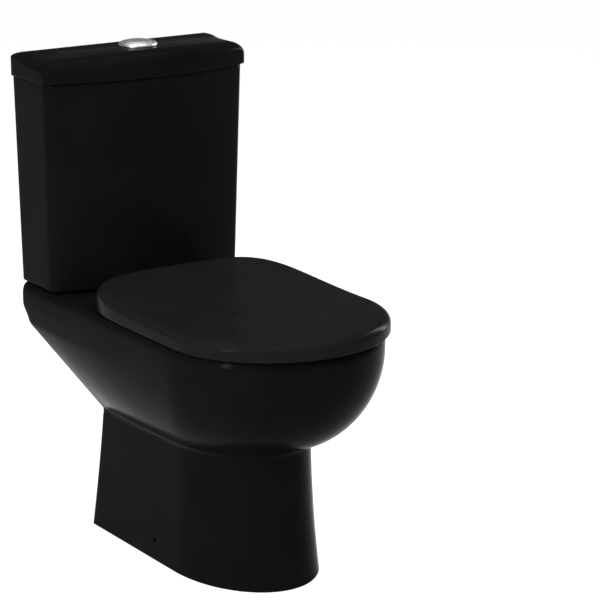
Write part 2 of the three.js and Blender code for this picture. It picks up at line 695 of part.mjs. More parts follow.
const ringPads = [['front', 108, 560], ['rear', 143, 320]];
const lidPads = [['front', 36, 621], ['rear', 146, 330]];
for (const [name, side] of sides) {
  for (const [end, x, reach] of ringPads) {
    const pad = rod(7, rimHeight + gap, ringBottom - gap);
    place(`ring_buffer_${end}_${name}`, pad, rubber, side * x, reach);
  }
  for (const [end, x, reach] of lidPads) {
    const pad = rod(5, ringTop + gap, lidPlateBottom - gap, 12);
    place(`lid_buffer_${end}_${name}`, pad, rubber, side * x, reach);
  }
}

place('coupling_gasket', tube(40, 47, rimHeight + gap, tankBottom - gap, 24), rubber, 0, flushReach);
for (const [name, side] of sides) {
  place(`coupling_bolt_${name}`, couplingBolt(), steel, side * couplingX, flushReach);
  place(`coupling_seal_${name}`, tube(4.4, 11, tankFloor + gap, tankFloor + 3.6, 12), rubber,
    side * couplingX, flushReach);
  place(`coupling_washer_${name}`, tube(4.4, 13, 383, 389 - gap, 12), rubber, side * couplingX, flushReach);
  place(`wing_nut_${name}`, wingNut(), steel, side * couplingX, flushReach);
}

place('flush_valve_body', flushValveBody(), whitePlastic, 0, flushReach);
place('flush_valve_head', flushValveHead(), greyPlastic, 0, flushReach);
place('flush_valve_core', flushCore(), whitePlastic, 0, flushReach);
place('flush_valve_seal', flushSeal(), rubber, 0, flushReach);
place('full_flush_pusher', flushPusher(-1), redPlastic, 0, flushReach);
place('half_flush_pusher', flushPusher(1), greyPlastic, 0, flushReach);
place('flush_valve_washer', tube(29.4, 39, tankFloor + gap, tankFloor + 3.6, 16), rubber, 0, flushReach);
place('flush_valve_nut', tube(29.4, 36, tankBottom - 12, tankBottom - gap, 20), whitePlastic, 0, flushReach);

place('fill_valve_body', fillValveBody(), whitePlastic, fillX, fillReach);
place('fill_valve_head', fillValveHead(), greyPlastic, fillX, fillReach);
place('fill_valve_washer', tube(9.9, 14, tankFloor + gap, tankFloor + 3.6, 12), rubber, fillX, fillReach);
place('fill_valve_nut', tube(9.9, 17, tankBottom - 10, tankBottom - gap, 12), whitePlastic, fillX, fillReach);
place('float_cup', floatCup(), whitePlastic, fillX, fillReach);
place('float_lever', floatLever(), greyPlastic, fillX, fillReach);

for (const [name, side] of sides) {
  place(`floor_bracket_${name}`, floorBracket(side), steel);
  place(`side_screw_${name}`, sideScrew(side), steel, 0, sideHole.reach, sideHole.height);
}

export default toilet;
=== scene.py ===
"""Close coupled toilet in black glaze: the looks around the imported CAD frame. Metres, +Z up, front at -Y."""

import json
import math

import bpy
import numpy as np
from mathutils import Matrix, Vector


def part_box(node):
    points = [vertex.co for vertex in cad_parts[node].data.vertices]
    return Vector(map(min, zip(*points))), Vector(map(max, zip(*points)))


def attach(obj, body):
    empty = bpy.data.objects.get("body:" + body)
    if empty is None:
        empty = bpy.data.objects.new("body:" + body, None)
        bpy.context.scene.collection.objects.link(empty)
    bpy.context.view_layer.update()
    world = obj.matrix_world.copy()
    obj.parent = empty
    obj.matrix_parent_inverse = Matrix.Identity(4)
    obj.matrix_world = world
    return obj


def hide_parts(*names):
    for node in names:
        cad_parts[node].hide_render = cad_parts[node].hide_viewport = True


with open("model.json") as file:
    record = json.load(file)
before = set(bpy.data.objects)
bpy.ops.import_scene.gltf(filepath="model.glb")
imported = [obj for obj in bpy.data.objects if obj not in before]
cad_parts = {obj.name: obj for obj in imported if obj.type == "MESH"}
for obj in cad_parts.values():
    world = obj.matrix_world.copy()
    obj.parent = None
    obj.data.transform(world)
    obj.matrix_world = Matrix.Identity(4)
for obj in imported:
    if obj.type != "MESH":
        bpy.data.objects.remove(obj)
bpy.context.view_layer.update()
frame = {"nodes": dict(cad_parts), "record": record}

MM = 0.001
PAN_NODES = ("pan_deck", "pan_bowl_upper", "pan_bowl_lower", "pan_outlet", "pan_trap", "pan_duct",
             "pan_skirt", "pan_pedestal")
DECK_LOW, DECK_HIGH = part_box("pan_deck")
TANK_LOW, TANK_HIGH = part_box("cistern_tank")
LID_LOW, LID_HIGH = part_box("cistern_lid")
SEAT_LOW, SEAT_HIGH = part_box("seat_lid")
RING_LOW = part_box("seat_ring")[0]
BEZEL_LOW, BEZEL_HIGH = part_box("button_bezel")
WALL = TANK_HIGH.y                      # the back plane; a reach is the distance in front of it
FLUSH_REACH = WALL - (BEZEL_LOW.y + BEZEL_HIGH.y) / 2
PIN_LOW, PIN_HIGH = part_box("hinge_pin_right")
HINGE_REACH = WALL - (PIN_LOW.y + PIN_HIGH.y) / 2
HINGE_Z = (PIN_LOW.z + PIN_HIGH.z) / 2
HINGE_X = (PIN_LOW.x + PIN_HIGH.x) / 2
COUPLING_X = sum(c.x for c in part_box("coupling_bolt_right")) / 2
FILL_X = sum(c.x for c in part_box("fill_valve_body")) / 2
FILL_REACH = WALL - sum(c.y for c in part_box("fill_valve_body")) / 2


# ---- mesh helpers ----
def new_object(name, points, faces):
    mesh = bpy.data.meshes.new(name)
    mesh.from_pydata([tuple(p) for p in points], [], faces)
    mesh.update()
    obj = bpy.data.objects.new(name, mesh)
    bpy.context.scene.collection.objects.link(obj)
    return obj


def loft(name, rings, closed=False):
    """A skin through rings of equal point count, with flat caps, or joined end to end when closed."""
    count = len(rings[0])
    points = np.concatenate(rings)
    faces = []
    levels = len(rings)
    for level in range(levels if closed else levels - 1):
        here, there = level * count, ((level + 1) % levels) * count
        for i in range(count):
            j = (i + 1) % count
            faces.append((here + i, here + j, there + j, there + i))
    if not closed:
        faces.append(tuple(range(count - 1, -1, -1)))
        faces.append(tuple(range((levels - 1) * count, levels * count)))
    return new_object(name, points, faces)


def ring(outline, z):
    """An outline of (x, reach) rows at height z, in millimetres, as points in metres."""
    flat = np.asarray(outline, float)
    height = np.broadcast_to(np.asarray(z, float), len(flat))
    return np.stack([flat[:, 0] * MM, WALL - flat[:, 1] * MM, height * MM], 1)


def turned(name, profile, reach=0.0, x=0.0, sides=96):
    """A turned piece about an upright axis. The profile of (radius, height) is closed, outside it upwards."""
    angles = np.arange(sides) * 2 * math.pi / sides
    rings = []
    for radius, height in profile:
        radius = max(radius, 0.02)
        outline = np.stack([x + radius * np.cos(angles), reach - radius * np.sin(angles)], 1)
        rings.append(ring(outline, height))
    axis_piece = profile[0][0] == 0 and profile[-1][0] == 0
    return loft(name, rings, closed=not axis_piece)


def block(name, x0, x1, reach0, reach1, z0, z1):
    outline = [(x0, reach1), (x1, reach1), (x1, reach0), (x0, reach0)]
    return loft(name, [ring(outline, z0), ring(outline, z1)])


def bored(name, radius, x, reach, z, half_length, axis, sides=48):
    """A round bar along X or Y, centred on a point, used as a cutter or a barrel."""
    angles = np.arange(sides) * 2 * math.pi / sides
    c, s = radius * np.cos(angles), radius * np.sin(angles)
    rings = []
    for end in (-half_length, half_length):
        if axis == "x":
            points = np.stack([np.full(sides, x + end), reach - c, z + s], 1)
        else:
            points = np.stack([x - c, np.full(sides, reach - end), z + s], 1)
        rings.append(np.stack([points[:, 0] * MM, WALL - points[:, 1] * MM, points[:, 2] * MM], 1))
    return loft(name, rings)


def flip(obj):
    obj.data.flip_normals()
    return obj


def combine(obj, other, operation):
    """Join, cut or intersect obj with other, keep the result in obj and drop other."""
    modifier = obj.modifiers.new("combine", "BOOLEAN")
    modifier.object = other
    modifier.operation = operation
    modifier.solver = "MANIFOLD"
    settled(obj)
    bpy.data.objects.remove(other)
    return obj


def drill(obj, radius, low, high, reach, x=0.0, sides=96):
    """Cut an upright round hole between two heights."""
    profile = [(0, low), (radius, low), (radius, high), (0, high)]
    return combine(obj, turned("drill", profile, reach, x, sides), "DIFFERENCE")


def settled(obj):
    """Apply every modifier on obj."""
    graph = bpy.context.evaluated_depsgraph_get()
    graph.update()
    mesh = bpy.data.meshes.new_from_object(obj.evaluated_get(graph))
    obj.modifiers.clear()
    old = obj.data
    obj.data = mesh
    bpy.data.meshes.remove(old)
    return obj


def smooth(obj, angle=32):
    """Shade smooth, with creases sharper than the angle kept."""
    for polygon in obj.data.polygons:
        polygon.use_smooth = True
    obj.data.set_sharp_from_angle(angle=math.radians(angle))
    return obj


def lerp(a, b, t):
    return a + (b - a) * t


def ease(value, low, high):
    t = np.clip((np.asarray(value, float) - low) / (high - low), 0, 1)
    return t * t * (3 - 2 * t)


def quarter(steps):
    """Angles from just above 0 to 90 degrees."""
    return [(i + 1) / steps * math.pi / 2 for i in range(steps)]


# ---- plan outlines in (x, reach), counter-clockwise seen from above, in millimetres ----
def pan_outline(half, back_half, back, shoulder, front, corner=14.0, detail=1.0):
    sides, corners, backs, fronts = (int(n * detail) for n in (26, 12, 12, 110))
    right = []
    for i in range(sides):
        along = i / sides
        reach = lerp(shoulder, back + corner, along)
        right.append((half - (half - back_half) * along ** 2, reach))
    for i in range(corners + 1):
        angle = i / corners * math.pi / 2
        x = back_half - corner + corner * math.cos(angle)
        right.append((x, back + corner - corner * math.sin(angle)))
    left = [(-x, reach) for x, reach in reversed(right)]
    span = right[-1][0]
    across = [(lerp(span, -span, i / backs), back) for i in range(1, backs)]
    nose = []
    for i in range(1, fronts):
        angle = math.pi + i / fronts * math.pi
        nose.append((half * math.cos(angle), shoulder - (front - shoulder) * math.sin(angle)))
    return right + across + left + nose


def oval_outline(directions, half, length, reach, power):
    """A superellipse met by rays from its centre in the given directions."""
    c, s = np.cos(directions), np.sin(directions)
    radius = (np.abs(c / half) ** power + np.abs(s / length) ** power) ** (-1 / power)
    return np.stack([radius * c, reach - radius * s], 1)


def cistern_outline(half, side, bow, inset=0.0, front_radius=20.0, back_radius=6.0):
    bow_radius = (half ** 2 + bow ** 2) / (2 * bow)
    bow_centre = side + bow - bow_radius
    edge = half - inset
    back_round = max(back_radius - inset / 2, 2)
    front_round = max(front_radius - inset / 2, 2)
    outline = []

    def arc(x, reach, radius, start, stop, steps):
        for i in range(steps + 1):
            angle = lerp(start, stop, i / steps)
            outline.append((x + radius * math.cos(angle), reach - radius * math.sin(angle)))

    corner_x = edge - front_round
    run = bow_radius - inset - front_round
    corner_reach = bow_centre + math.sqrt(run ** 2 - corner_x ** 2)
    swing = math.asin(corner_x / run)
    arc(edge - back_round, inset + back_round, back_round, 0, math.pi / 2, 10)
    arc(-edge + back_round, inset + back_round, back_round, math.pi / 2, math.pi, 10)
    for i in range(1, 8):
        outline.append((-edge, lerp(inset + back_round, corner_reach, i / 8)))
    arc(-corner_x, corner_reach, front_round, math.pi, 1.5 * math.pi - swing, 12)
    bow_steps = 56
    for i in range(1, bow_steps):
        angle = 1.5 * math.pi + lerp(-swing, swing, i / bow_steps)
        radius = bow_radius - inset
        outline.append((radius * math.cos(angle), bow_centre - radius * math.sin(angle)))
    arc(corner_x, corner_reach, front_round, 1.5 * math.pi + swing, 2 * math.pi, 12)
    for i in range(1, 8):
        outline.append((edge, lerp(corner_reach, inset + back_round, i / 8)))
    return outline


SEAT_HALF = SEAT_HIGH.x / MM
SEAT_FRONT = (WALL - SEAT_LOW.y) / MM
SEAT_BACK = (WALL - SEAT_HIGH.y) / MM
SEAT_NOSE = 171.0                        # length of the half-elliptical front
SEAT_TAIL_CENTRE = 400.0
SEAT_TAIL_POWER = 4.4


def seat_outline(inset, steps=84):
    half = SEAT_HALF - inset
    tail = SEAT_TAIL_CENTRE - SEAT_BACK - inset
    nose_centre = SEAT_FRONT - SEAT_NOSE
    outline = []
    for i in range(steps + 1):
        angle = i / steps * math.pi
        c, s = math.cos(angle), max(math.sin(angle), 0.0)
        outline.append((half * math.copysign(abs(c) ** (2 / SEAT_TAIL_POWER), c),
                        SEAT_TAIL_CENTRE - tail * s ** (2 / SEAT_TAIL_POWER)))
    for i in range(6):
        outline.append((-half, lerp(SEAT_TAIL_CENTRE, nose_centre, (i + 1) / 7)))
    for i in range(steps + 1):
        angle = math.pi + i / steps * math.pi
        outline.append((half * math.cos(angle), nose_centre - (SEAT_NOSE - inset) * math.sin(angle)))
    for i in range(6):
        outline.append((half, lerp(nose_centre, SEAT_TAIL_CENTRE, (i + 1) / 7)))
    return np.array(outline)


# ---- pan ----
RIM = DECK_HIGH.z / MM
RIM_HALF = DECK_HIGH.x / MM
RIM_FRONT = (WALL - DECK_LOW.y) / MM
WAIST = 212.0
FOOT = dict(half=115.5, back=100.0, front=536.0)
WAIST_PLAN = dict(half=106.0, back=126.0, shoulder=368.0, front=517.0)
WAIST_TILT = (-4.0, 11.0)                # the waist climbs from the back to the front
RIM_SHOULDER = 462.0
UPRIGHT = 380.0
SHELF_TURN = 340.0
EDGE_ACROSS, EDGE_DOWN = 8.0, 18.0
WALL_THICK = 11.0


def pan_plan(z, spread=None, inset=0.0):
    """The pan's outer plan at height z. spread runs from 0 at the waist to 1 at the rim."""
    if z < WAIST and spread is None:
        up = max(z, 0) / WAIST
        half = lerp(WAIST_PLAN["half"], FOOT["half"], (1 - up) ** 1.6) - inset
        return dict(half=half, back_half=half, back=lerp(FOOT["back"], WAIST_PLAN["back"], up),
                    shoulder=WAIST_PLAN["shoulder"],
                    front=lerp(WAIST_PLAN["front"], FOOT["front"], (1 - up) ** 2) - inset)
    if spread is None:
        below = min(max((UPRIGHT - z) / (UPRIGHT - WAIST), 0), 1)
        spread = (1 - below ** 2) ** 0.58
    climb = min(max((z - WAIST) / (SHELF_TURN - WAIST), 0), 1)
    top = float(ease(z, SHELF_TURN, SHELF_TURN + 32))
    return dict(half=lerp(WAIST_PLAN["half"], RIM_HALF, spread) - inset,
                back_half=lerp(WAIST_PLAN["half"], RIM_HALF - 4, climb) + 4 * top - inset,
                back=lerp(WAIST_PLAN["back"], 12, climb) - 12 * top,
                shoulder=lerp(WAIST_PLAN["shoulder"], RIM_SHOULDER, spread),
                front=lerp(WAIST_PLAN["front"], RIM_FRONT, spread) - inset)


BOWL = dict(half=118.0, length=165.0, reach=439.0, power=2.3)
BOWL_ROWS = np.array([   # height, growth across, growth along, shift to the back
    (372, 22, 22, 0), (345, 18, 17, 1), (310, 6, 2, 5), (265, -16, -28, 17), (220, -38, -66, 36),
    (175, -58, -92, 51), (130, -72, -110, 65), (95, -82, -124, 74), (76, -96, -140, 78)], float)


def smooth_rows(rows, per_step):
    """Catmull-Rom through the rows."""
    padded = np.vstack([2 * rows[0] - rows[1], rows, 2 * rows[-1] - rows[-2]])
    result = []
    for i in range(1, len(padded) - 2):
        p0, p1, p2, p3 = padded[i - 1:i + 3]
        for k in range(per_step):
            t = k / per_step
            result.append(0.5 * (2 * p1 + (p2 - p0) * t + (2 * p0 - 5 * p1 + 4 * p2 - p3) * t ** 2
                                 + (3 * p1 - p0 - 3 * p2 + p3) * t ** 3))
    result.append(rows[-1])
    return result


def oval(directions, grow=0.0):
    return oval_outline(directions, BOWL["half"] + grow, BOWL["length"] + grow, BOWL["reach"], BOWL["power"])


def bowl_ring(directions, row, grow=0.0):
    z, across, along, backward = row
    return ring(oval_outline(directions, BOWL["half"] + across + grow, BOWL["length"] + along + grow,
                             BOWL["reach"] - backward, BOWL["power"]), z)


def tilted(points):
    """The sloping waist: heights near it follow the slope, the floor and the rim stay."""
    reach = (WALL - points[:, 1]) / MM
    z = points[:, 2] / MM
    forward = np.clip((reach - WAIST_PLAN["back"]) / (WAIST_PLAN["front"] - WAIST_PLAN["back"]), 0, 1)
    below = np.clip(z / WAIST, 0, 1) ** 1.5
    above = np.clip((UPRIGHT - z) / (UPRIGHT - WAIST), 0, 1)
    near = np.where(z < WAIST, below, above)
    moved = points.copy()
    moved[:, 2] += lerp(*WAIST_TILT, forward) * near * MM
    return moved


def pan_body():
    """The glazed outside, over the rim, under the lip and down the bowl, as one skin."""
    rings = []
    foot_round = 2.2
    for i in range(5):
        angle = i / 5 * math.pi / 2
        inset = foot_round * (1 - math.sin(angle))
        rings.append(ring(pan_outline(**pan_plan(0, inset=inset)), foot_round * (1 - math.cos(angle))))
    waist_round = 12.0
    for z in np.linspace(foot_round, WAIST - waist_round, 30):
        rings.append(ring(pan_outline(**pan_plan(z)), z))
    sweep_start = 0.32
    start_spread = math.sin(sweep_start) ** 1.16
    start_z = UPRIGHT - (UPRIGHT - WAIST) * math.cos(sweep_start)
    for k in range(1, 8):
        t = k / 8
        z = (1 - t) ** 2 * (WAIST - waist_round) + 2 * t * (1 - t) * WAIST + t ** 2 * start_z
        rings.append(ring(pan_outline(**pan_plan(z, spread=start_spread * t ** 2)), z))
    for angle in np.linspace(sweep_start, math.pi / 2, 40):
        z = UPRIGHT - (UPRIGHT - WAIST) * math.cos(angle)
        rings.append(ring(pan_outline(**pan_plan(z, spread=math.sin(angle) ** 1.16)), z))
    rings = [tilted(points) for points in rings]
    rim_base = RIM - EDGE_DOWN
    rings.append(ring(pan_outline(**pan_plan(rim_base)), rim_base))
    for angle in quarter(14):
        inset = EDGE_ACROSS * (1 - math.cos(angle))
        outline = pan_outline(**pan_plan(RIM, spread=1.0, inset=inset))
        rings.append(ring(outline, rim_base + EDGE_DOWN * math.sin(angle)))
    outer = np.array(pan_outline(**pan_plan(RIM, spread=1.0, inset=EDGE_ACROSS)))
    directions = np.arctan2(BOWL["reach"] - outer[:, 1], outer[:, 0])
    inner_round = 5.0
    inner = oval(directions, inner_round)
    for share in (0.04, 0.2, 0.5, 0.8, 0.96):
        rings.append(ring(outer + (inner - outer) * share, RIM))
    for angle in [0.0] + quarter(8):
        grow = inner_round * (1 - math.sin(angle))
        rings.append(ring(oval(directions, grow), RIM - inner_round * (1 - math.cos(angle))))
    lip, lip_low, channel_top = 9.0, RIM - 27, RIM - 12
    rings.append(ring(oval(directions), lip_low + 8))
    for i in range(9):
        angle = i / 8 * math.pi
        grow = lip / 2 * (1 - math.cos(angle))
        rings.append(ring(oval(directions, grow), lip_low + lip / 2 * (1 - math.sin(angle))))
    rings.append(ring(oval(directions, lip), channel_top))
    rings.append(ring(oval(directions, lip + 0.5), channel_top + 0.5))
    rings.append(ring(oval(directions, BOWL_ROWS[0][1] - 0.5), channel_top + 0.5))
    rings.append(ring(oval(directions, BOWL_ROWS[0][1]), channel_top))
    for row in smooth_rows(BOWL_ROWS, 5):
        rings.append(bowl_ring(directions, row))
    floor = BOWL_ROWS[-1]
    for share, drop in ((0.8, 2.5), (0.5, 4.5), (0.2, 5)):
        half = (BOWL["half"] + floor[1]) * share
        length = (BOWL["length"] + floor[2]) * share
        outline = oval_outline(directions, half, length, BOWL["reach"] - floor[3], BOWL["power"])
        rings.append(ring(outline, floor[0] - drop))
    return loft("pan_visual", rings)


def bar_along(name, path, radius, sides=48):
    """A round bar along a path of (reach, height) rows in the middle plane."""
    rows = np.array(smooth_rows(np.array(path, float), 5))
    tangents = np.gradient(rows, axis=0)
    tangents /= np.linalg.norm(tangents, axis=1)[:, None]
    angles = np.arange(sides) * 2 * math.pi / sides
    rings = []
    for (reach, z), (along_reach, along_z) in zip(rows, tangents):
        x = -radius * np.cos(angles)
        lift = radius * np.sin(angles)
        points = np.stack([x, reach - lift * along_z, z + lift * along_reach], 1)
        rings.append(np.stack([points[:, 0] * MM, WALL - points[:, 1] * MM, points[:, 2] * MM], 1))
    return loft(name, rings)


TRAP = [(352, 104), (318, 96), (284, 104), (262, 136), (246, 172), (222, 194), (190, 198), (150, 190),
        (124, 185)]
TRAP_RADIUS = 27.0
TRAP_WALL = 9.0
DUCT = dict(x0=-46, x1=46, reach0=42, reach1=262, z0=336, z1=392)
DUCT_WAY = dict(x0=-34, x1=34, reach0=54, reach1=285, z0=348, z1=371)
INLET = dict(radius=28, low=360, high=390)               # where the flush enters the duct
RECESS_RADIUS, RECESS_DEPTH = 39, 19     # the wider hole above the inlet, from the deck's top
NOTCH_HALF, NOTCH_BOTTOM = 23, 340       # the shelf's notch for the fill valve
BOLT_HOLE_LOW = 380
COUPLING_HOLE, HINGE_HOLE = 7, 6.5       # radii
SIDE_HOLE = dict(radius=4.6, reach=306, z=33, half_length=16, axis="x")
OUTLET_Z, OUTLET_REACH, OUTLET_OUTER, OUTLET_INNER = 185.0, 84.0, 51.0, 43.0


def pan_hollow():
    """The space under the bowl and shelf, open to the floor and the back, less what stands in it."""
    lift = 9
    rows = [(-1, 0), (80, 80), (170, 170), (WAIST + lift - 6, WAIST - 2)]
    rows += [(z + lift, z) for z in (214, 217, 221, 228, 241, 258, 280)]
    rows += [(330, 316), (372, 350), (386, 376), (389, 384)]
    rings = []
    for z, section in rows:
        plan = pan_plan(section)
        narrowing = 5 * float(ease(z, WAIST, WAIST + 40))
        outline = pan_outline(plan["half"] - WALL_THICK, plan["back_half"] - WALL_THICK - narrowing, -20,
                              plan["shoulder"], plan["front"] - WALL_THICK, 4, detail=0.6)
        rings.append(tilted(ring(outline, z)))
    hollow = loft("hollow", rings)
    directions = np.arange(120) * 2 * math.pi / 120
    shell_rows = [bowl_ring(directions, row, WALL_THICK) for row in smooth_rows(BOWL_ROWS, 3)]
    shell = loft("shell", [ring(oval(directions, BOWL_ROWS[0][1] + WALL_THICK), RIM - 2)] + shell_rows
                 + [ring(oval_outline(directions, 30, 34, BOWL["reach"] - 78, 2.3), 64)])
    flip(shell)
    combine(hollow, shell, "DIFFERENCE")
    combine(hollow, bar_along("trap", TRAP, TRAP_RADIUS + TRAP_WALL), "DIFFERENCE")
    combine(hollow, block("duct", **DUCT), "DIFFERENCE")
    return hollow


def pan():
    body = pan_body()
    combine(body, pan_hollow(), "DIFFERENCE")
    spigot_half = (160 - OUTLET_REACH) / 2
    spigot = bored("spigot", OUTLET_OUTER, 0, OUTLET_REACH + spigot_half, OUTLET_Z, spigot_half, "y", 96)
    combine(body, spigot, "UNION")
    combine(body, bar_along("trap_way", TRAP, TRAP_RADIUS), "DIFFERENCE")
    combine(body, bored("spigot_bore", OUTLET_INNER, 0, 110, OUTLET_Z, 31, "y", 96), "DIFFERENCE")
    combine(body, block("duct_way", **DUCT_WAY), "DIFFERENCE")
    flush_reach, fill_x, fill_reach = FLUSH_REACH / MM, FILL_X / MM, FILL_REACH / MM
    above = RIM + 2
    drill(body, **INLET, reach=flush_reach)
    drill(body, RECESS_RADIUS, RIM - RECESS_DEPTH, RIM + 1, flush_reach)
    notch = block("notch", fill_x - NOTCH_HALF, fill_x + NOTCH_HALF, -5, fill_reach, NOTCH_BOTTOM, above)
    combine(body, notch, "DIFFERENCE")
    drill(body, NOTCH_HALF, NOTCH_BOTTOM, above, fill_reach, fill_x)
    bolt_holes = ((COUPLING_HOLE, COUPLING_X / MM, flush_reach), (HINGE_HOLE, HINGE_X / MM, HINGE_REACH / MM))
    for side in (-1, 1):
        for radius, x, reach in bolt_holes:
            drill(body, radius, BOLT_HOLE_LOW, above, reach, side * x, 32)
        combine(body, bored("side_hole", x=side * WAIST_PLAN["half"], **SIDE_HOLE), "DIFFERENCE")
    return smooth(body)


# ---- cistern ----
TANK_BASE, TANK_TOP = TANK_LOW.z / MM, TANK_HIGH.z / MM
TANK_FOOT_PLAN = dict(half=176.5, side=105.0, bow=37.0)
TANK_HEAD_PLAN = dict(half=TANK_HIGH.x / MM, side=115.0, bow=37.0)
TANK_FLOOR = 421.0
TANK_WALL = 9.0


def tank_plan(z):
    share = (z - TANK_BASE) / (TANK_TOP - TANK_BASE)
    return {key: lerp(TANK_FOOT_PLAN[key], TANK_HEAD_PLAN[key], share) for key in TANK_FOOT_PLAN}


def tank():
    rings = []
    low_round, top_round, inner_round = 5.0, 2.0, 8.0
    for angle in [0.0] + quarter(7):
        z = TANK_BASE + low_round * (1 - math.cos(angle))
        rings.append(ring(cistern_outline(**tank_plan(z), inset=low_round * (1 - math.sin(angle))), z))
    for z in np.linspace(TANK_BASE + low_round, TANK_TOP - top_round, 26)[1:]:
        rings.append(ring(cistern_outline(**tank_plan(z)), z))
    for angle in quarter(4):
        z = TANK_TOP - top_round * (1 - math.sin(angle))
        rings.append(ring(cistern_outline(**tank_plan(z), inset=top_round * (1 - math.cos(angle))), z))
    for angle in [0.0] + quarter(4):
        z = TANK_TOP - top_round * (1 - math.cos(angle))
        inset = TANK_WALL - top_round * (1 - math.sin(angle))
        rings.append(ring(cistern_outline(**tank_plan(z), inset=inset), z))
    for z in (680, 600, 520, TANK_FLOOR + inner_round):
        rings.append(ring(cistern_outline(**tank_plan(z), inset=TANK_WALL), z))
    for angle in quarter(5):
        z = TANK_FLOOR + inner_round * (1 - math.sin(angle))
        inset = TANK_WALL + inner_round * (1 - math.cos(angle))
        rings.append(ring(cistern_outline(**tank_plan(z), inset=inset), z))
    body = loft("tank_visual", rings)
    holes = [(31, 0, FLUSH_REACH / MM), (11, FILL_X / MM, FILL_REACH / MM)]
    holes += [(5.5, side * COUPLING_X / MM, FLUSH_REACH / MM) for side in (-1, 1)]
    for radius, x, reach in holes:
        drill(body, radius, 400, 432, reach, x, 48)
    return smooth(body)


CAP_TOP, CAP_BASE = 795.0, 747.3         # the top at its rear, in the middle
CAP_FALL = 3.6                           # from the rear to where the button sits
BUTTON_SEAT = BEZEL_HIGH.z / MM - 5.9
CAP_PLAN = dict(half=LID_HIGH.x / MM, side=117.0, bow=38.0)
CAP_CEILING = 774.0
CAP_CROWN = 10.0                         # the top falls this much to each end
CAP_REAR_EDGE = 0.4                      # the rounding's depth at the back, as a share of the front's
CAP_FALL_REACHES = (20, 56)              # where the fall and the deeper rounding begin and end
CAP_EDGE_REACHES = (20, 90)


def cistern_lid():
    def level(z, inset):
        return ring(cistern_outline(**CAP_PLAN, inset=inset, front_radius=12, back_radius=8), z)

    def crowned(down, inset):
        outline = np.array(cistern_outline(**CAP_PLAN, inset=inset, front_radius=12, back_radius=8))
        fall = CAP_FALL * ease(outline[:, 1], *CAP_FALL_REACHES)
        z = CAP_TOP - fall - down * lerp(CAP_REAR_EDGE, 1, ease(outline[:, 1], *CAP_EDGE_REACHES))
        share = np.clip((z - CAP_BASE - 8) / (CAP_TOP - CAP_BASE - 8), 0, 1)
        return ring(outline, z - CAP_CROWN * share * (outline[:, 0] / CAP_PLAN["half"]) ** 2)

    low_round, round_across, round_down = 2.5, 25.0, 24.0
    ceiling, rib_low = CAP_CEILING, LID_LOW.z / MM
    rings = [level(ceiling, 36), level(ceiling - 0.6, 32), level(ceiling - 3, 27), level(ceiling - 8, 24)]
    rings += [level(rib_low + 1.5, 24), level(rib_low, 22.5), level(rib_low, 19.5), level(rib_low + 1.5, 18)]
    rings.append(level(CAP_BASE, 18))
    for angle in [0.0] + quarter(6):
        rings.append(level(CAP_BASE + low_round * (1 - math.cos(angle)), low_round * (1 - math.sin(angle))))
    for angle in [0.0] + quarter(24):
        rings.append(crowned(round_down * (1 - math.sin(angle)), round_across * (1 - math.cos(angle))))
    for inset in (32, 42, 52, 60):
        rings.append(crowned(0, inset))
    body = loft("cistern_lid_visual", rings)
    drill(body, 28, BUTTON_SEAT - 20, BUTTON_SEAT + 2, FLUSH_REACH / MM)
    return smooth(body)


# ---- flush button ----
BUTTON_RADIUS = (BEZEL_HIGH.x - BEZEL_LOW.x) / 2 / MM
BUTTON_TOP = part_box("full_flush_button")[1].z / MM


def button_bezel():
    top = BUTTON_SEAT
    profile = [(24.4, top - 30), (27.2, top - 30), (27.2, top + 0.3), (BUTTON_RADIUS - 0.4, top + 0.3),
               (BUTTON_RADIUS, top + 0.7)]
    across, up = BUTTON_RADIUS - 25.6, 4.9
    for i in range(13):
        angle = i / 12 * math.pi / 2
        profile.append((25.6 + across * math.cos(angle) ** 0.9, top + 1.0 + up * math.sin(angle)))
    profile += [(24.9, top + 5.75), (24.5, top + 5.3), (24.4, top + 4.6)]
    return smooth(turned("bezel_visual", profile, FLUSH_REACH / MM, sides=128), 40)


def button_half(side):
    """A domed part of the button on one side of the split, with its push rod."""
    top, split, slit = BUTTON_SEAT, 5.0, 0.3
    dome_top = BUTTON_TOP
    shoulder = top + 4.6
    profile = [(0, top - 6), (23.9, top - 6), (23.9, shoulder)]
    for i in range(1, 24):
        angle = i / 24 * math.pi / 2
        profile.append((23.9 * math.cos(angle) ** 0.85, shoulder + (dome_top - shoulder) * math.sin(angle)))
    profile.append((0, dome_top))
    dome = turned("button_visual_" + ("full" if side < 0 else "half"), profile, FLUSH_REACH / MM, sides=128)
    low, high = (-40, split - slit) if side < 0 else (split + slit, 40)
    reach = FLUSH_REACH / MM
    combine(dome, block("keep", low, high, reach - 40, reach + 40, top - 10, top + 12), "INTERSECT")
    bevel = dome.modifiers.new("edge", "BEVEL")
    bevel.width = 0.45 * MM
    bevel.segments = 3
    bevel.limit_method = "ANGLE"
    bevel.angle_limit = math.radians(40)
    settled(dome)
    rod = turned("rod", [(0, 650), (2.4, 650), (3, 650.6), (3, top - 5), (0, top - 5)], reach, side * 16, 32)
    combine(dome, rod, "UNION")
    return smooth(dome, 40)


# ---- seat ----
def lid_low_edge(outline):
    lift = 12.0
    return SEAT_LOW.z / MM + lift * (1 - ease(outline[:, 1], HINGE_REACH / MM, HINGE_REACH / MM + 22))


SEAT_PLATE_TOP = 433.0                   # at the front
SEAT_RISE = dict(start=470.0, over=290.0, power=1.8)     # towards the hinges


def seat_rise(reach):
    share = np.clip((SEAT_RISE["start"] - reach) / SEAT_RISE["over"], 0, 1) ** SEAT_RISE["power"]
    return (SEAT_HIGH.z / MM - SEAT_PLATE_TOP) * share


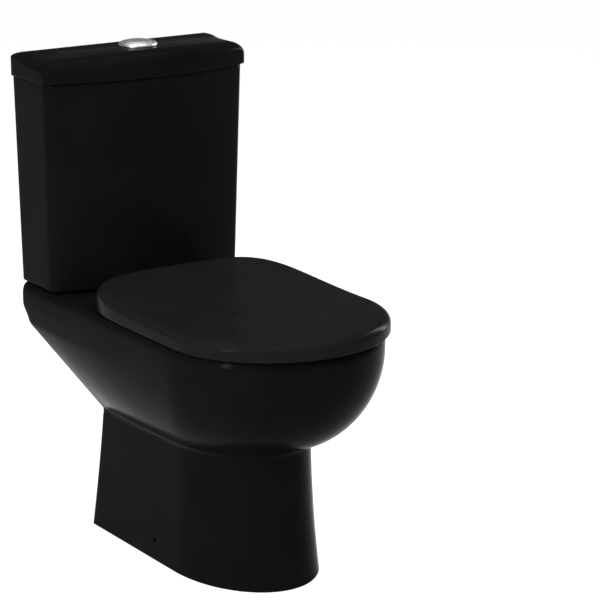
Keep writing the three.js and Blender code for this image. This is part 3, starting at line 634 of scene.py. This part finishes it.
def lifted(points):
    reach = (WALL - points[:, 1]) / MM
    low = lid_low_edge(np.stack([points[:, 0] / MM, reach], 1)) + 1
    z = points[:, 2] / MM
    moved = points.copy()
    moved[:, 2] += seat_rise(reach) * np.clip((z - low) / (SEAT_PLATE_TOP - low), 0, 1) * MM
    return moved


def seat_lid():
    top, plate = SEAT_PLATE_TOP, 3.5
    skirt = 3.6
    upright_top = top - 14.5

    def level(inset, share):
        outline = seat_outline(inset)
        low = lid_low_edge(outline)
        return ring(outline, low + (upright_top - low) * share)

    edge = 1.2
    low_rings = []
    for angle in [0.0] + quarter(4):
        outline = seat_outline(edge * (1 - math.sin(angle)))
        low_rings.append(ring(outline, lid_low_edge(outline) + edge * (1 - math.cos(angle))))
    ceiling = top - plate
    inner = [ring(seat_outline(skirt + 130), ceiling), ring(seat_outline(skirt + 30), ceiling)]
    inner_top = ceiling - 10
    for angle in quarter(8):
        inner.append(ring(seat_outline(skirt + 11 * (1 - math.sin(angle))), inner_top + 10 * math.cos(angle)))
    outline = seat_outline(skirt)
    low = lid_low_edge(outline)
    inner.append(ring(outline, np.minimum(low + 4, inner_top - 0.5)))
    inner.append(ring(seat_outline(skirt - 0.2), np.minimum(low + 0.4, inner_top - 1)))
    inner.append(ring(seat_outline(skirt - 0.8), low))
    rings = inner + low_rings
    outside = []
    for share in (0.35, 0.7, 1.0):
        outside.append(level(0, share))
    across, up = 17.0, 13.6
    for angle in quarter(18):
        inset = across * (1 - math.cos(angle) ** 0.94)
        outside.append(ring(seat_outline(inset), upright_top + up * math.sin(angle)))
    for inset, rise in ((26, 0.35), (40, 0.5), (60, 0.68), (85, 0.8), (110, 0.86), (130, 0.88)):
        outside.append(ring(seat_outline(inset), upright_top + up + (top - upright_top - up) * rise))
    rings += [lifted(points) for points in outside]
    body = loft("seat_lid_visual", rings)
    hinge_x, reach = HINGE_X / MM, HINGE_REACH / MM
    for side in (-1, 1):
        middle = side * (hinge_x + 9)
        notch = block("notch", middle - 19.5, middle + 19.5, 160, reach + 7, 400, ceiling)
        combine(body, notch, "DIFFERENCE")
        inside = side * (hinge_x - 19)
        combine(body, bored("knuckle", 6, inside, reach, HINGE_Z / MM, 7, "x"), "UNION")
        web = block("web", inside - 6.9, inside + 6.9, reach - 5.9, reach + 5.9, HINGE_Z / MM, ceiling + 1)
        combine(body, web, "UNION")
        combine(body, bored("bore", 3.4, inside, reach, HINGE_Z / MM, 9, "x"), "DIFFERENCE")
    return smooth(body, 40)


RING_HOLE = dict(half=112.0, length=158.0, reach=440.0, power=2.2)


def seat_ring():
    low, high = RING_LOW.z / MM, 424.0
    inset0 = 6.5
    rear_limit = HINGE_REACH / MM + 12
    outline = seat_outline(inset0)
    directions = np.arctan2(RING_HOLE["reach"] - outline[:, 1], outline[:, 0])

    def outer(inset, z):
        flat = seat_outline(inset0 + inset)
        flat[:, 1] = np.maximum(flat[:, 1], rear_limit + inset)
        return ring(flat, z)

    def hole(grow, z):
        half, length = RING_HOLE["half"] + grow, RING_HOLE["length"] + grow
        return ring(oval_outline(directions, half, length, RING_HOLE["reach"], RING_HOLE["power"]), z)

    rings = []
    low_round, top_round, hole_round = 2.5, 5.0, 9.0
    for angle in [0.0] + quarter(4):
        rings.append(outer(low_round * (1 - math.sin(angle)), low + low_round * (1 - math.cos(angle))))
    for angle in quarter(9):
        rings.append(outer(top_round * (1 - math.cos(angle)), high - top_round * (1 - math.sin(angle))))
    for angle in [0.0] + quarter(10):
        rings.append(hole(hole_round * (1 - math.sin(angle)), high - 8 * (1 - math.cos(angle))))
    for angle in quarter(5):
        rings.append(hole(3 * (1 - math.cos(angle)), low + 3 * (1 - math.sin(angle))))
    body = loft("seat_ring_visual", rings, closed=True)
    hinge_x, reach = HINGE_X / MM, HINGE_REACH / MM
    for side in (-1, 1):
        outside = side * (hinge_x + 19)
        combine(body, bored("arm", 5.5, outside, reach, HINGE_Z / MM, 7, "x"), "UNION")
        web = block("arm_web", outside - 6.9, outside + 6.9, reach, reach + 24, low + 6, high - 0.2)
        combine(body, web, "UNION")
        combine(body, bored("bore", 3.4, outside, reach, HINGE_Z / MM, 9, "x"), "DIFFERENCE")
    return smooth(body, 40)


# ---- materials ----
def material(name, color, roughness, metallic=0.0, specular=0.5):
    made = bpy.data.materials.new(name)
    made.use_nodes = True
    shader = made.node_tree.nodes["Principled BSDF"]
    shader.inputs["Base Color"].default_value = (*color, 1)
    shader.inputs["Roughness"].default_value = roughness
    shader.inputs["Metallic"].default_value = metallic
    shader.inputs["Specular IOR Level"].default_value = specular
    return made


def node(tree, kind, **inputs):
    made = tree.nodes.new(kind)
    for name, value in inputs.items():
        made.inputs[name.replace("_", " ")].default_value = value
    return made


def noise(tree, scale, detail=2.0, roughness=0.5):
    place = tree.nodes.new("ShaderNodeTexCoord")
    made = node(tree, "ShaderNodeTexNoise", Scale=scale, Detail=detail, Roughness=roughness)
    tree.links.new(place.outputs["Object"], made.inputs["Vector"])
    return made


def spread(tree, source, low, high, start=0.3, stop=0.7):
    made = node(tree, "ShaderNodeMapRange")
    made.inputs["From Min"].default_value = start
    made.inputs["From Max"].default_value = stop
    made.inputs["To Min"].default_value = low
    made.inputs["To Max"].default_value = high
    tree.links.new(source, made.inputs["Value"])
    return made.outputs["Result"]


def add_color_variation(made, dark, light, scale, detail=3.0):
    tree = made.node_tree
    ramp = tree.nodes.new("ShaderNodeValToRGB")
    ramp.color_ramp.elements[0].position = 0.3
    ramp.color_ramp.elements[0].color = (*dark, 1)
    ramp.color_ramp.elements[1].position = 0.7
    ramp.color_ramp.elements[1].color = (*light, 1)
    tree.links.new(noise(tree, scale, detail).outputs["Fac"], ramp.inputs["Fac"])
    tree.links.new(ramp.outputs["Color"], tree.nodes["Principled BSDF"].inputs["Base Color"])


def add_roughness(made, low, high, scale, detail=3.0):
    tree = made.node_tree
    out = spread(tree, noise(tree, scale, detail).outputs["Fac"], low, high)
    tree.links.new(out, tree.nodes["Principled BSDF"].inputs["Roughness"])


def add_bump(made, layers):
    """Each layer is (scale, height in metres, detail)."""
    tree = made.node_tree
    normal = None
    for scale, height, detail in layers:
        bump = node(tree, "ShaderNodeBump", Distance=height, Strength=1.0)
        tree.links.new(noise(tree, scale, detail).outputs["Fac"], bump.inputs["Height"])
        if normal:
            tree.links.new(normal, bump.inputs["Normal"])
        normal = bump.outputs["Normal"]
    shader = tree.nodes["Principled BSDF"]
    tree.links.new(normal, shader.inputs["Normal"])


def black_glaze():
    made = material("black_glaze", (0.0042, 0.0042, 0.0044), 0.2, specular=0.0085)
    add_color_variation(made, (0.0036, 0.0036, 0.0038), (0.0048, 0.0048, 0.005), 9)
    add_roughness(made, 0.14, 0.22, 14)
    add_bump(made, [(7, 0.0004, 1), (240, 0.000006, 2)])
    return made


def seat_plastic():
    made = material("seat_plastic", (0.008, 0.008, 0.0082), 0.24, specular=0.012)
    add_color_variation(made, (0.0073, 0.0073, 0.0075), (0.0087, 0.0087, 0.0089), 16)
    add_roughness(made, 0.2, 0.28, 30)
    add_bump(made, [(9, 0.0003, 1), (900, 0.000003, 2)])
    return made


def chrome():
    made = material("chrome", (0.56, 0.565, 0.575), 0.4, metallic=1.0)
    add_color_variation(made, (0.52, 0.525, 0.535), (0.6, 0.605, 0.615), 60)
    add_roughness(made, 0.36, 0.46, 220)
    add_bump(made, [(500, 0.000002, 3)])
    return made


def plain(name, color, roughness, metallic=0.0, grain=300, height=0.00001, vary=0.12):
    made = material(name, color, roughness, metallic)
    dark = tuple(c * (1 - vary) for c in color)
    light = tuple(min(1, c * (1 + vary)) for c in color)
    add_color_variation(made, dark, light, grain / 6)
    add_roughness(made, roughness * 0.85, min(1, roughness * 1.15), grain / 3)
    add_bump(made, [(grain, height, 3)])
    return made


MATERIALS = {
    "black_glaze": black_glaze(),
    "seat_plastic": seat_plastic(),
    "chrome": chrome(),
    "zinc_steel": plain("zinc_steel", (0.55, 0.56, 0.58), 0.34, 1.0, 420, 0.00001, 0.1),
    "rubber": plain("rubber", (0.02, 0.02, 0.02), 0.75, 0.0, 600, 0.00003, 0.25),
    "white_plastic": plain("white_plastic", (0.78, 0.78, 0.75), 0.42, 0.0, 350, 0.00001, 0.04),
    "grey_plastic": plain("grey_plastic", (0.32, 0.34, 0.37), 0.48, 0.0, 350, 0.00001, 0.08),
    "red_plastic": plain("red_plastic", (0.5, 0.06, 0.04), 0.42, 0.0, 350, 0.00001, 0.1),
}


def finish_piece(obj, nodes, body, slot):
    obj.data.materials.clear()
    obj.data.materials.append(MATERIALS[slot])
    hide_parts(*nodes)
    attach(obj, body)


def dress_cad_nodes(skip):
    """Every CAD node that stays gets its slot's material and soft shading."""
    for row in frame["record"]["subparts"]:
        if row["node"] in skip:
            continue
        obj = frame["nodes"][row["node"]]
        obj.data.materials.clear()
        obj.data.materials.append(MATERIALS[row["material_slot"]])
        smooth(obj, 35)


# ---- stage, light and camera ----
def stage():
    floor = new_object("floor", [(-9, -9, 0), (9, -9, 0), (9, 9, 0), (-9, 9, 0)], [(0, 1, 2, 3)])
    floor.location.z = -0.0002
    look = material("floor", (0.34, 0.34, 0.34), 0.9, specular=0.0)
    shader = look.node_tree.nodes["Principled BSDF"]
    shader.inputs["Emission Color"].default_value = (1, 1, 1, 1)
    shader.inputs["Emission Strength"].default_value = 0.85
    floor.data.materials.append(look)


def softbox(name, place, aim, size, watts):
    light = bpy.data.lights.new(name, "AREA")
    light.energy = watts
    light.shape = "RECTANGLE"
    light.size, light.size_y = size
    obj = bpy.data.objects.new(name, light)
    obj.location = place
    obj.rotation_euler = (Vector(aim) - Vector(place)).to_track_quat("-Z", "Y").to_euler()
    bpy.context.scene.collection.objects.link(obj)


def lighting():
    world = bpy.data.worlds.new("studio")
    world.use_nodes = True
    bpy.context.scene.world = world
    tree = world.node_tree
    place = tree.nodes.new("ShaderNodeTexCoord")
    split = tree.nodes.new("ShaderNodeSeparateXYZ")
    ramp = tree.nodes.new("ShaderNodeValToRGB")
    tree.links.new(place.outputs["Generated"], split.inputs["Vector"])
    up = node(tree, "ShaderNodeMapRange")
    up.inputs["From Min"].default_value = -1.0
    tree.links.new(split.outputs["Z"], up.inputs["Value"])
    tree.links.new(up.outputs["Result"], ramp.inputs["Fac"])
    stops = [(0.0, 1.0), (0.485, 1.0), (0.515, 0.1), (0.66, 0.1), (1.0, 0.5)]
    while len(ramp.color_ramp.elements) < len(stops):
        ramp.color_ramp.elements.new(0.5)
    for element, (position, level) in zip(ramp.color_ramp.elements, stops):
        element.position = position
        element.color = (level, level, level, 1)
    seen = tree.nodes["Background"]
    tree.links.new(ramp.outputs["Color"], seen.inputs["Color"])
    softbox("overhead", (-0.4, -0.8, 3.4), (0, 0, 0.3), (4.4, 4.4), 130)
    softbox("left strip", (-2.4, -0.9, 1.3), (0, 0, 0.5), (0.16, 1.5), 50)
    softbox("right strip", (2.6, 0.3, 1.2), (0, 0, 0.5), (0.4, 1.6), 40)


def camera():
    azimuth, elevation = math.radians(-34.2), math.radians(15.4)
    distance = 3.9197
    target = Vector((0.172, WALL - 0.3, 0.3858))
    level = math.cos(elevation)
    back = Vector((math.sin(azimuth) * level, -math.cos(azimuth) * level, math.sin(elevation)))
    data = bpy.data.cameras.new("camera")
    data.sensor_width = 36
    data.lens = 144.6
    data.clip_end = 100
    obj = bpy.data.objects.new("camera", data)
    obj.location = target + back * distance
    obj.rotation_euler = back.to_track_quat("Z", "Y").to_euler()
    bpy.context.scene.collection.objects.link(obj)
    bpy.context.scene.camera = obj


camera()
stage()
lighting()
bpy.context.scene.view_settings.view_transform = "Standard"

VISUAL = {
    PAN_NODES: (pan, "root", "black_glaze"),
    "cistern_tank": (tank, "root", "black_glaze"),
    "cistern_lid": (cistern_lid, "cistern_lid", "black_glaze"),
    "button_bezel": (button_bezel, "cistern_lid", "chrome"),
    "full_flush_button": (lambda: button_half(-1), "full_flush_button", "chrome"),
    "half_flush_button": (lambda: button_half(1), "half_flush_button", "chrome"),
    "seat_lid": (seat_lid, "seat_lid", "seat_plastic"),
    "seat_ring": (seat_ring, "seat_ring", "seat_plastic"),
}
rebuilt = set()
for nodes, (build, body, slot) in VISUAL.items():
    nodes = (nodes,) if isinstance(nodes, str) else nodes
    finish_piece(build(), nodes, body, slot)
    rebuilt.update(nodes)
dress_cad_nodes(rebuilt)
